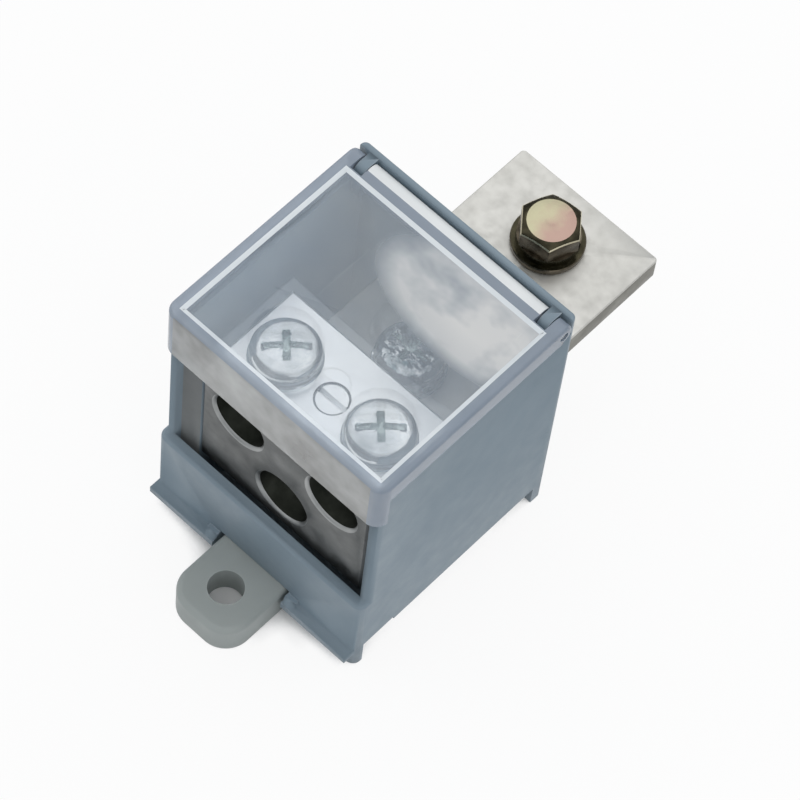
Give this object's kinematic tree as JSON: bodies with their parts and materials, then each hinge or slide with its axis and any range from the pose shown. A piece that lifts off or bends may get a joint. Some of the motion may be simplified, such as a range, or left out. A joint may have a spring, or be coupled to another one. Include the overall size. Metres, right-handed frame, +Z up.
{
  "type": "neutral terminal block",
  "caption": "Enclosed neutral terminal block: moulded housing with clear hinged cover, drilled connector block with clamp screws, rear busbar with bolt and a sliding mounting lug.",
  "frame": {"origin": "under the middle of the whole part's outline, on the plane that the feet stand on", "axes": "+X to the right seen from the cable side, +Y from the cable side towards the busbar, +Z up"},
  "size_m": [0.0612, 0.1222, 0.0775],
  "materials": {
    "housing_plastic": "blue-grey moulded plastic, fine matte grain",
    "clear_plastic": "clear moulded plastic, glossy",
    "pin_steel": "plain steel",
    "tinned_block": "tinned, satin",
    "plated_screw": "bright zinc plate",
    "pad_brass": "turned brass",
    "tinned_busbar": "tinned copper, warm satin",
    "passivated_zinc": "yellow passivated zinc, slightly iridescent",
    "slider_plastic": "warmer grey moulded plastic"
  },
  "bodies": {
    "base": {"housing": "housing_plastic", "hinge_pin": "pin_steel", "connector_block": "tinned_block", "busbar": "tinned_busbar", "busbar_screw": "plated_screw", "busbar_flat_washer": "plated_screw", "busbar_spring_washer": "plated_screw", "terminal_lower_washer": "passivated_zinc", "terminal_nut": "passivated_zinc", "block_screw_left": "plated_screw", "block_screw_right": "plated_screw"},
    "cover": {"cover": "clear_plastic"},
    "left_clamp_carrier": {"clamp_washer_left": "plated_screw"},
    "left_clamp": {"clamp_screw_left": "plated_screw"},
    "right_clamp_carrier": {"clamp_washer_right": "plated_screw"},
    "right_clamp": {"clamp_screw_right": "plated_screw"},
    "set_screw_carrier": {"set_screw_pad": "pad_brass"},
    "set_screw": {"set_screw": "plated_screw"},
    "terminal_carrier": {"terminal_flat_washer": "passivated_zinc", "terminal_spring_washer": "passivated_zinc"},
    "terminal_bolt": {"terminal_bolt": "passivated_zinc"},
    "slider": {"mounting_slider": "slider_plastic"}
  },
  "joints": [
    {"name": "cover_hinge", "type": "hinge", "parent": "base", "child": "cover", "pos_m": [0, 0.01282, 0.07487], "axis": [-1, 0, 0], "range_deg": [0, 90]},
    {"name": "left_clamp_rise", "type": "slide", "parent": "base", "child": "left_clamp_carrier", "axis": [0, 0, 1], "range_m": [0, 0.006]},
    {"name": "left_clamp_turn", "type": "hinge", "parent": "left_clamp_carrier", "child": "left_clamp", "pos_m": [-0.0114, -0.02485, 0.06], "axis": [0, 0, 1], "range_deg": [0, 1730]},
    {"name": "right_clamp_rise", "type": "slide", "parent": "base", "child": "right_clamp_carrier", "axis": [0, 0, 1], "range_m": [0, 0.006]},
    {"name": "right_clamp_turn", "type": "hinge", "parent": "right_clamp_carrier", "child": "right_clamp", "pos_m": [0.0154, -0.02485, 0.06], "axis": [0, 0, 1], "range_deg": [0, 1730]},
    {"name": "set_screw_travel", "type": "slide", "parent": "base", "child": "set_screw_carrier", "axis": [0, 0, -1], "range_m": [0, 0.006]},
    {"name": "set_screw_turn", "type": "hinge", "parent": "set_screw_carrier", "child": "set_screw", "pos_m": [0.002, -0.02485, 0.06], "axis": [0, 0, -1], "range_deg": [0, 1730]},
    {"name": "terminal_rise", "type": "slide", "parent": "base", "child": "terminal_carrier", "axis": [0, 0, 1], "range_m": [0, 0.005]},
    {"name": "terminal_turn", "type": "hinge", "parent": "terminal_carrier", "child": "terminal_bolt", "pos_m": [0, 0.04695, 0.037], "axis": [0, 0, 1], "range_deg": [0, 1442]},
    {"name": "slider_slide", "type": "slide", "parent": "base", "child": "slider", "axis": [0, 1, 0], "range_m": [0, 0.015]}
  ],
  "couplings": [
    {"joint": "left_clamp_turn", "follows": "left_clamp_rise", "rad_per_m": 5026.5},
    {"joint": "right_clamp_turn", "follows": "right_clamp_rise", "rad_per_m": 5026.5},
    {"joint": "set_screw_turn", "follows": "set_screw_travel", "rad_per_m": 5026.5},
    {"joint": "terminal_turn", "follows": "terminal_rise", "rad_per_m": 5026.5}
  ]
}
